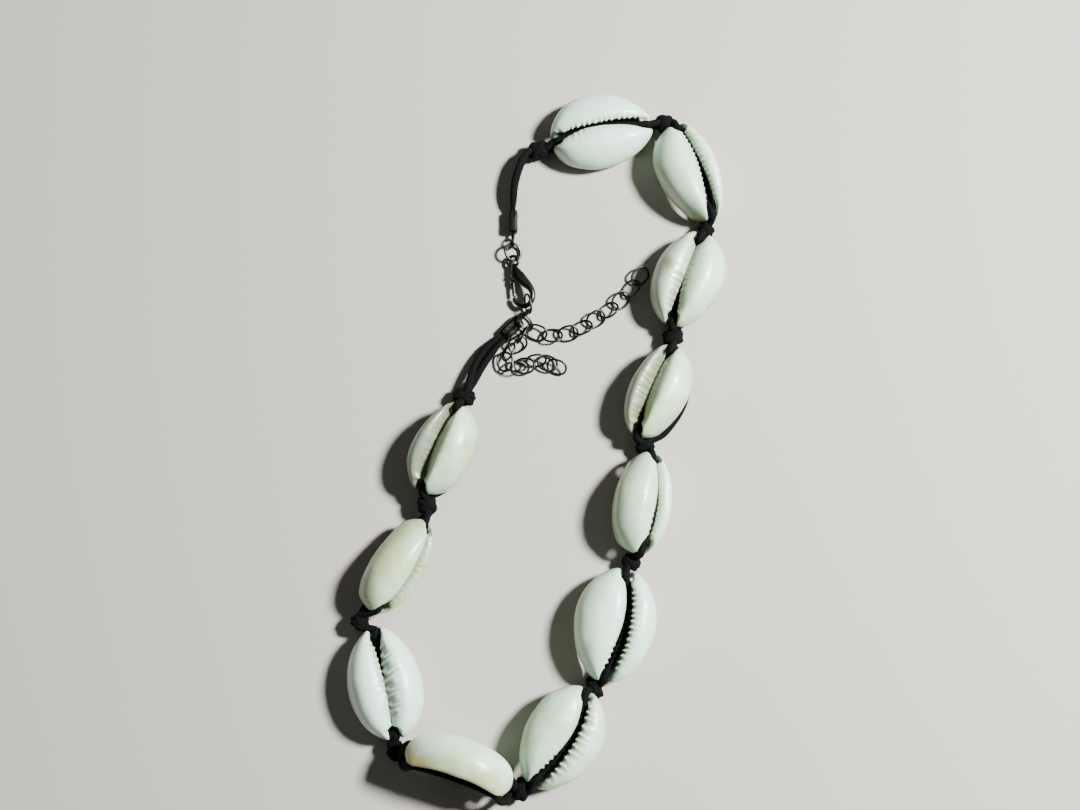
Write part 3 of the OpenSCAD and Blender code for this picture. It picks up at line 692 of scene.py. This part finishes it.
# One row a knot, in mm and degrees: place, length along the cord, heading, width across the cord,
# and how the strand on its top lies, from -1 to 1
knotColumns = ("x", "y", "z", "length", "heading", "width", "band")
knotRows = [
    (-0.1, 69.8, 2.8, 4.2, 12, 4.7, 0.9), (31.1, 76.6, 2.8, 3.6, 0, 4.8, -0.8),
    (40.7, 49.7, 2.8, 2.4, -122, 4.3, 0.5), (32.2, 22.9, 2.8, 3.2, -88, 5.3, -0.9),
    (25.2, -3.7, 2.8, 2.4, -52, 4.7, 0.8), (21.6, -31.0, 2.8, 2.4, -133, 4.8, -0.7),
    (12.9, -59.7, 2.8, 2.3, -150, 5.9, 0.4), (-3.9, -82.6, 3.4, 3.2, 170, 5.6, 0.9),
    (-32.7, -74.0, 3.0, 2.8, 135, 4.8, -0.8), (-41.5, -44.7, 3.9, 2.1, 88, 4.6, 0.3),
    (-26.2, -17.7, 4.2, 3.4, 100, 4.8, 0.9), (-17.8, 8.4, 2.8, 3.0, 64, 5.8, -0.7),
]
knots = [dict(zip(knotColumns, row)) for row in knotRows]
# One row a shell: +1 where its rear end comes first along the cord, how far the strand behind it
# lies to the left of its middle line at its middle and ends, where the strand leaves the notches,
# the same of the strand behind where that goes round the rim, and how far that one rises
strandColumns = ("first", "bow", "atEnd", "out", "backOut", "rise")
strandRows = [
    (1, 0.0, 0.0, 0.470, 0.00, 0.0), (1, 0.0, 0.0, 0.480, 0.00, 0.0), (-1, 4.0, 0.5, 0.490, 0.00, 0.0),
    (-1, 7.5, 0.2, 0.505, 0.00, 0.0), (1, -3.5, 0.0, 0.490, 0.00, 0.0), (1, 0.0, 0.0, 0.470, 0.00, 0.0),
    (1, 0.0, 0.0, 0.480, 0.00, 0.0), (1, 3.3, 5.1, 0.490, 0.46, 10.2), (1, 0.0, 0.0, 0.470, 0.46, 0.0),
    (-1, 3.5, 2.0, 0.470, 0.00, 0.0), (1, -5.5, -0.3, 0.490, 0.00, 0.0),
]
strandPairs = [dict(zip(strandColumns, row)) for row in strandRows]


def knotExit(k, way, level):
    # from inside the knot to just outside it
    n, c = knots[k], cordForm
    middle = np.array([n["x"], n["y"], n["z"]])
    steps = ((-c["intoKnot"], 0.7), (c["faceGap"], 1.0))
    along = heading(n["heading"]) * way
    return [middle + along * (n["length"] / 2 + out) + [0, 0, level * c["rise"] * share]
            for out, share in steps]


def betweenKnots(i, level, points):
    return knotExit(i, 1, level) + points + knotExit(i + 1, -1, level)[::-1]


def mirroredRun(rows):
    return rows + [(-r[0], r[1], r[2]) for r in rows[-2::-1]]


def slotRoute(i):
    # over the notch at one end, under both lips, and out at the other
    s, c = shells[i], strandPairs[i]
    points = []
    start = [(c["out"], cordForm["notchHeight"], 0.0)]
    for share, height, low in mirroredRun(start + cordForm["slotRun"]):
        x = c["first"] * share * s["length"]
        u = x / (s["length"] * shellForm["slotShare"])
        y = 0.0 if abs(u) > 0.9 else float(slotBend(s, u))
        points.append(placeShell(s, np.array([x, y, (height - low * s["valley"]) * s["height"]])))
    return betweenKnots(i, 1, points)


def backRoute(i):
    # down to the surface behind the shell, along it and up to the next knot
    s, c = shells[i], strandPairs[i]
    out = heading(s["yaw"]) * c["first"]
    left = np.array([out[1], -out[0], 0])
    start = [(c["backOut"], 0.0, cordForm["endRise"])] if c["backOut"] else []
    points = []
    for share, bowShare, rise in mirroredRun(start + cordForm["backRun"]):
        side = c["bow"] * bowShare + c["atEnd"] * (1 - bowShare)
        z = cordForm["radius"] + cordForm["backRise"] + c["rise"] * rise
        points.append(np.array([s["x"], s["y"], z]) + out * share * s["length"] + left * side)
    return betweenKnots(i, -1, points)


def cordPart(route):
    c = cordForm
    path = smoothPath(route, 7)
    path[:, 2] = np.maximum(path[:, 2], c["radius"])
    return tubeParts(path, c["radius"], c["sides"], ply=c["ply"])


for i in range(len(shells)):
    obj = makeObject(f"cord_{i + 1:02d}", [cordPart(slotRoute(i)), cordPart(backRoute(i))], cordMaterial)
    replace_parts(obj, f"strands_{i + 1:02d}")
print("strands made")

knotForm = {
    "thick": 3.8,            # mm
    "rings": 48, "sides": 96,
    "endShrink": 0.34, "shrinkPower": 4,
    "closingRings": ((0.45, 0.16), (0.80, 0.09)),   # size of the two rings that close an end, mm out
    "twist": 280,            # degrees the two turns of cord wind along the knot
    "windDepth": 0.26, "windPower": 3,          # mm; a higher power narrows the groove between turns
    "yarnDepth": 0.11, "yarnPitch": 0.72, "yarnSlant": 0.7,     # mm, mm, share of the pitch
    "bandRadius": 0.85, "bandRise": 0.12,       # mm
    "bandTurn": 1.1, "bandReach": 0.86,         # half turns round the knot; share of its length
    "bandSink": 0.25,        # mm, at its ends
    "bandPly": {"count": 3, "depth": 0.07, "twist": 2.9},
}


def knotSurface(n, share, angle, out):
    # a point of the knot's barrel, or further out of it
    f = knotForm
    way = heading(n["heading"])
    side = np.cross(way, [0, 0, 1])
    barrel = 1 - f["endShrink"] * np.abs(2 * share) ** f["shrinkPower"]
    across = np.cos(angle) * (barrel * n["width"] / 2 + out)
    over = np.sin(angle) * (barrel * f["thick"] / 2 + out)
    along = share * n["length"]
    return np.array([n["x"], n["y"], n["z"]]) + along[..., None] * way + across[..., None] * side \
        + over[..., None] * np.array([0.0, 0.0, 1.0])


def knotPart(n):
    f = knotForm
    share = np.linspace(-0.5, 0.5, f["rings"])[:, None]
    angle = circleAngles(f["sides"])[None, :]
    turns = ((1 + np.cos(2 * angle + math.radians(f["twist"]) * share)) / 2) ** f["windPower"]
    count = round(math.pi * (n["width"] + f["thick"]) / 2 * f["yarnSlant"] / f["yarnPitch"])
    lean = 1 if n["band"] < 0 else -1
    slant = lean * 2 * math.pi * f["yarnSlant"] / f["yarnPitch"] * n["length"]
    yarn = np.abs(np.cos((count * angle + slant * share) / 2))
    out = 0.02 - f["windDepth"] * turns - f["yarnDepth"] * (1 - yarn)
    points = knotSurface(n, share + 0 * angle, angle + 0 * share, out)
    middle = points.mean(1, keepdims=True)
    way = heading(n["heading"])
    front, back = [[middle[k] + (points[k] - middle[k]) * size + way * sign * reach
                    for size, reach in f["closingRings"]] for k, sign in ((0, -1), (-1, 1))]
    rings = np.concatenate([front, points, back[::-1]])
    return gridPart(rings, lengths=np.linspace(0, n["length"], len(rings)))


def bandPart(n):
    # the strand that crosses the turns aslant, sunk in the barrel for most of its thickness
    f = knotForm
    t = np.linspace(0, 1, 30)
    angle = math.pi * (0.5 + f["bandTurn"] * n["band"] * (t - 0.5))
    share = f["bandReach"] * (t - 0.5)
    out = f["bandRise"] - f["bandRadius"] - f["bandSink"] * np.abs(2 * t - 1) ** 6
    return tubeParts(knotSurface(n, share, angle, out), f["bandRadius"], 18, ply=f["bandPly"])


for k, n in enumerate(knots, 1):
    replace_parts(makeObject(f"cordKnot_{k:02d}", [knotPart(n), bandPart(n)], cordMaterial),
                f"knot_{k:02d}")
print("knots made")

# cords to the metal ends, a row a point: middle of the pair, way to the first strand, strand radius
claspCordRows = [
    (-3.2, 68.4, 3.2, 0.0, 0.0, 0.98, 0.90), (-4.5, 66.0, 3.5, 0.0, 0.0, 0.98, 0.90),
    (-5.8, 61.5, 3.3, 0.0, 0.0, 0.98, 0.90), (-6.2, 57.5, 2.6, 0.0, 0.0, 0.95, 0.85),
    (-6.3, 55.4, 2.0, 0.0, 0.0, 0.70, 0.60), (-6.3, 53.8, 1.65, 0.0, 0.0, 0.50, 0.46),
    (-6.3, 50.6, 1.65, 0.0, 0.0, 0.50, 0.46),
]
chainCordRows = [
    (-16.0, 12.4, 2.4, -0.4, 0.2, 0.90, 0.90), (-14.4, 16.2, 1.8, -0.8, 0.3, 0.50, 0.90),
    (-12.3, 19.6, 1.4, -0.8, 0.5, 0.20, 0.88), (-9.8, 22.3, 1.3, -0.50, 0.50, 0.10, 0.62),
    (-8.1, 24.0, 1.25, -0.40, 0.40, 0.00, 0.46), (-5.7, 26.4, 1.25, -0.40, 0.40, 0.00, 0.46),
]


def endCord(rows, way, k):
    parts = []
    for level in (1, -1):
        start = knotExit(k, way, level)
        route = start + [np.array(r[:3]) + level * np.array(r[3:6]) for r in rows]
        radii = np.array([cordForm["radius"]] * len(start) + [r[6] for r in rows])
        parts.append(tubeParts(smoothPath(route, 7), smoothPath(radii[:, None] * [1.0, 1.0], 7),
                               cordForm["sides"], ply=cordForm["ply"]))
    return parts


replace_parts(makeObject("claspCord", endCord(claspCordRows, -1, 0), cordMaterial), "clasp_cord")
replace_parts(makeObject("chainCord", endCord(chainCordRows, 1, 11), cordMaterial), "chain_cord")
print("end cords made")

# Metal

crimpForm = {
    "length": 5.6, "width": 3.1, "thick": 2.3, "wall": 0.35,    # mm
    "seam": 0.3, "seamWidth": 0.22,      # mm
    "cornerPower": 0.42,     # the lower, the squarer the section
    "stops": (0.0, 0.12, 0.5, 1.2, 2.0, 2.8, 3.6, 4.4, 5.0, 5.35, 5.55, 5.6),   # mm along, of its rings
    "innerStops": (4.4, 2.0, 0.0),       # mm along, from its bottom out to its mouth
    "closing": (0.35, 0.18), "mouthClosing": (0.04, 0.1),       # share, over mm, at its two ends
    "dents": (0.05, 2.2),    # share of the thickness, radians a mm
    "loopRadius": 1.3, "loopWire": 0.3, "neck": 1.0, "neckHalf": (0.42, 0.36),  # mm
}
crimps = {
    "clasp_crimp": {"mouth": (-6.3, 54.6, 1.65), "heading": -90, "roll": 90, "rise": 0.0},
    "chain_crimp": {"mouth": (-8.4, 23.7, 1.25), "heading": 45, "roll": 0, "rise": 0.4},
}


def crimpSection(width, thick, count=44):
    # a rounded rectangle, drawn in at the seam in the middle of its top
    f = crimpForm
    a = circleAngles(count) + math.pi / 2
    x, z = [size / 2 * np.sign(way) * np.abs(way) ** f["cornerPower"]
            for size, way in ((width, np.cos(a)), (thick, np.sin(a)))]
    return np.stack([x, z - f["seam"] * bump(x, f["seamWidth"]) * (z > 0)], 1)


def crimpParts(c):
    f = crimpForm
    outer = crimpSection(f["width"], f["thick"])
    inner = crimpSection(f["width"] - 2 * f["wall"], f["thick"] - 2 * f["wall"])
    rings = [np.insert(inner, 0, x, 1) for x in f["innerStops"]]
    for x in f["stops"]:
        close = 1 - f["closing"][0] * bump(x - f["length"], f["closing"][1]) \
            - f["mouthClosing"][0] * bump(x, f["mouthClosing"][1])
        pinch = 1 - f["dents"][0] * math.cos(f["dents"][1] * x)
        rings.append(np.insert(outer * [close, close * pinch], 0, x, 1))
    base = turn("Z", c["heading"])
    body = gridPart(rings @ (base @ turn("X", c["roll"])).T + c["mouth"])
    neckPath = [(f["length"] - 0.4 + 0.2 * k, 0, 0) for k in range(9)] @ base.T
    neck = tubeParts(neckPath + c["mouth"] + [0, 0, c["rise"] * 0.3], [f["neckHalf"]] * len(neckPath), 16,
                     up=(0, 0, 1))
    t = circleAngles(64)
    r = f["loopRadius"]
    middle = f["length"] + f["neck"] + r - 0.25
    loop = np.stack([middle + r * np.cos(t), 0 * t, r * np.sin(t) + c["rise"]], 1)
    return [body, neck, tubeParts(loop @ base.T + c["mouth"], f["loopWire"], 14, closed=True)]


for name, c in crimps.items():
    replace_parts(makeObject(name + "_sheet", crimpParts(c), crimpMaterial), name)
print("crimps made")

ringForm = {"place": (-6.3, 44.4, 1.65), "radius": 2.1, "wire": 0.35, "tilt": 30}


def circlePath(radius, count):
    t = circleAngles(count)
    return np.stack([radius * np.cos(t), radius * np.sin(t), 0 * t], 1)


ringPath = circlePath(ringForm["radius"], 72) @ turn("Y", ringForm["tilt"]).T + ringForm["place"]
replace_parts(makeObject("jumpRing", [tubeParts(ringPath, ringForm["wire"], 16, closed=True)], metalMaterial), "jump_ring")

# Lobster clasp, in its own frame: X across it, Y from the hook's bottom up to the eye
claspForm = {
    "place": (-6.0, 29.65, 1.45), "turn": 4, "tilt": -20,
    "eye": (0.6, 12.3), "eyeRadius": 1.35, "eyeWire": 0.4,
    # the body and hook as one swept form: x, y, half width in its plane, half thickness, and how
    # deep the lever's room is cut into its inner side
    "body": [
        (0.75, 11.45, 0.50, 0.50, 0.0), (0.80, 11.00, 0.70, 0.80, 0.0), (1.00, 10.30, 1.00, 1.00, 0.0),
        (1.30, 9.40, 1.38, 1.08, 1.3), (1.63, 8.50, 1.66, 1.08, 1.7), (2.47, 7.55, 1.48, 1.08, 0.9),
        (3.15, 6.80, 1.32, 1.04, 0.2), (4.08, 5.85, 1.02, 0.95, 0.0), (4.83, 4.60, 0.80, 0.82, 0.0),
        (5.07, 3.30, 0.70, 0.74, 0.0), (4.70, 2.00, 0.68, 0.72, 0.0), (3.60, 1.02, 0.62, 0.70, 0.0),
        (2.20, 1.00, 0.60, 0.66, 0.0), (1.00, 1.80, 0.56, 0.60, 0.0), (0.50, 2.50, 0.52, 0.54, 0.0),
        (0.32, 2.95, 0.48, 0.46, 0.0),
    ],
    "roomHalf": 0.52,        # mm, half the room's thickness
    "floorShare": 0.97,      # width of the room's floor beside its mouth
    # the lever: the same, without a room
    "lever": [
        (0.75, 8.85, 0.30, 0.36), (0.50, 8.75, 0.50, 0.40), (0.36, 8.3, 0.56, 0.40), (0.26, 7.6, 0.47, 0.40),
        (0.26, 6.6, 0.45, 0.40), (0.27, 5.6, 0.45, 0.40), (0.28, 4.7, 0.45, 0.40), (0.30, 4.1, 0.45, 0.40),
        (0.32, 3.82, 0.42, 0.38),
    ],
    "nub": [
        (-0.02, 7.9, 0.26, 0.34), (-0.34, 7.35, 0.30, 0.36), (-0.38, 6.9, 0.28, 0.34),
        (-0.02, 6.5, 0.22, 0.30),
    ],
    "pin": (0.55, 8.5, 0.34),
}


def claspPlace(p):
    f = claspForm
    return np.asarray(p, float) @ (turn("Z", f["turn"]) @ turn("Y", f["tilt"])).T + f["place"]


def sweptPath(rows, steps):
    rows = np.array(rows)
    return smoothPath(np.column_stack([rows[:, :2], 0 * rows[:, 0]]), steps), smoothPath(rows[:, 2:], steps)


def sweptForm(rows, steps, sides):
    path, sizes = sweptPath(rows, steps)
    part = tubeParts(path, sizes, sides, up=(0, 0, 1))
    part[0] = claspPlace(part[0])
    return part


def claspBodyPart(f, steps=6, sides=30):
    # a swept oval with a slot along its inner side, in which the lever turns
    path, sizes = sweptPath(f["body"], steps)
    room = np.pad(sizes[:, 2], len(endRings))
    path, sizes = roundedEnds(path, sizes[:, :2])
    across, over = carriedSides(path, up=(0, 0, 1))
    rings = []
    for i, (half, thick) in enumerate(sizes):
        edge = math.asin(min(0.9, f["roomHalf"] / thick))
        corners = [-f["floorShare"] * edge, 0.0, f["floorShare"] * edge]
        angle = np.concatenate([np.linspace(edge, 2 * math.pi - edge, sides), corners])
        x, z = half * np.cos(angle), thick * np.sin(angle)
        x[sides:] -= max(room[i], 0.0)
        rings.append(path[i] + x[:, None] * across[i] + z[:, None] * over[i])
    return gridPart(claspPlace(rings))


eyePath = claspPlace(circlePath(claspForm["eyeRadius"], 64) + [*claspForm["eye"], 0.0])
pinX, pinY, pinRadius = claspForm["pin"]
pinPart = tubeParts(claspPlace([(pinX, pinY, z) for z in (-1.0, -0.5, 0.0, 0.5, 1.0)]), pinRadius, 20,
                    roundEnds=False)
claspParts = [claspBodyPart(claspForm), tubeParts(eyePath, claspForm["eyeWire"], 16, closed=True), pinPart]
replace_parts(makeObject("lobsterClasp", claspParts, metalMaterial), "clasp_body")
leverParts = [sweptForm(claspForm["lever"], 6, 18), sweptForm(claspForm["nub"], 5, 14)]
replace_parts(makeObject("claspLever", leverParts, metalMaterial, body="lever"), "clasp_lever")
print("clasp made")

# Chain: one row a link, in mm and degrees: place, heading, rise and roll of its long way
linkForm = {"length": 5.2, "width": 4.2, "wire": 0.275, "squareness": 3}  # mm
linkRows = {
    "crimp_link": [(-3.2, 26.8, 1.95, 121, 10, 42)],
    "hooked_link": [(-2.6, 31.15, 2.9, 99, 9, 110)],
    "extender_long": [
        (-0.4, 24.4, 1.05, -20, 0, 20), (3.3, 23.7, 1.2, 0, 0, -26), (7.1, 24.2, 1.15, 14, 0, 26),
        (10.6, 25.7, 1.15, 25, 0, -26), (13.8, 27.8, 1.15, 35, 0, 26), (17.0, 30.0, 1.15, 38, 0, -26),
        (19.9, 32.5, 1.1, 45, 0, 23), (22.4, 35.4, 1.15, 53, 0, -26), (24.6, 38.5, 1.15, 47, 0, 26),
    ],
    "extender_short": [
        (-4.0, 23.6, 2.25, 241, 0, 76), (-5.1, 21.5, 1.4, 214, -3, -24), (-7.2, 19.5, 1.85, 246, 3, 55),
        (-8.1, 17.2, 1.45, -81, 0, 8), (-5.6, 15.9, 1.65, -10, 6, -43), (-3.4, 16.2, 1.4, 4, 6, 2),
        (-0.6, 17.4, 1.8, 6, -3, 52), (2.1, 16.9, 1.0, -21, 0, -5), (4.3, 15.9, 1.5, -20, 3, 37),
    ],
}


def linkPart(row):
    x, y, z, yaw, rise, roll = row
    f = linkForm
    radius = f["width"] / 2 - f["wire"]
    half = (f["length"] - f["width"]) / 2
    t = circleAngles(60)
    stretch = half * np.tanh(f["squareness"] * np.cos(t))
    path = np.stack([radius * np.cos(t) + stretch, radius * np.sin(t), 0 * t], 1)
    way = turn("Z", yaw) @ turn("Y", -rise) @ turn("X", roll)
    return tubeParts(path @ way.T + [x, y, z], f["wire"], 12, closed=True)


for name, rows in linkRows.items():
    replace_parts(makeObject(name + "_wire", [linkPart(r) for r in rows], metalMaterial), name)
print("chain made")

# Floor and light

stageSettings = {
    "floorSize": 1.6,        # m
    # place in m, size in m, power in W, colour
    "lights": {
        "key": ((0.46, 0.12, 0.52), 0.12, 22.0, (0.97, 1.0, 0.97)),
        "fill": ((-0.30, 0.35, 0.80), 0.5, 0.25, (0.95, 1.0, 1.0)),
    },
    "world": "#EEF2F2", "worldStrength": 0.08,
}


def makeFloor(f):
    material, _, shader = newMaterial("paintedBoard")
    shader.inputs["Base Color"].default_value = toLinear(floorFinish["colour"])
    shader.inputs["Roughness"].default_value = floorFinish["roughness"]
    h = f["floorSize"] / 2
    mesh = bpy.data.meshes.new("floor")
    mesh.from_pydata([(-h, -h, 0), (h, -h, 0), (h, h, 0), (-h, h, 0)], [], [(0, 1, 2, 3)])
    mesh.materials.append(material)
    floor = bpy.data.objects.new("floor", mesh)
    bpy.context.scene.collection.objects.link(floor)


def makeLight(name, place, size, power, colour):
    data = bpy.data.lights.new(name, "AREA")
    data.shape = "DISK"
    data.size = size
    data.energy = power
    data.color = colour
    light = bpy.data.objects.new(name, data)
    light.location = place
    light.rotation_mode = "QUATERNION"
    light.rotation_quaternion = (-Vector(place)).to_track_quat("-Z", "Y")
    bpy.context.scene.collection.objects.link(light)


makeFloor(stageSettings)
for name, light in stageSettings["lights"].items():
    makeLight(name, *light)
world = bpy.data.worlds.new("studio")
world.use_nodes = True
background = world.node_tree.nodes["Background"]
background.inputs["Color"].default_value = toLinear(stageSettings["world"])
background.inputs["Strength"].default_value = stageSettings["worldStrength"]
bpy.context.scene.world = world
print("stage set")
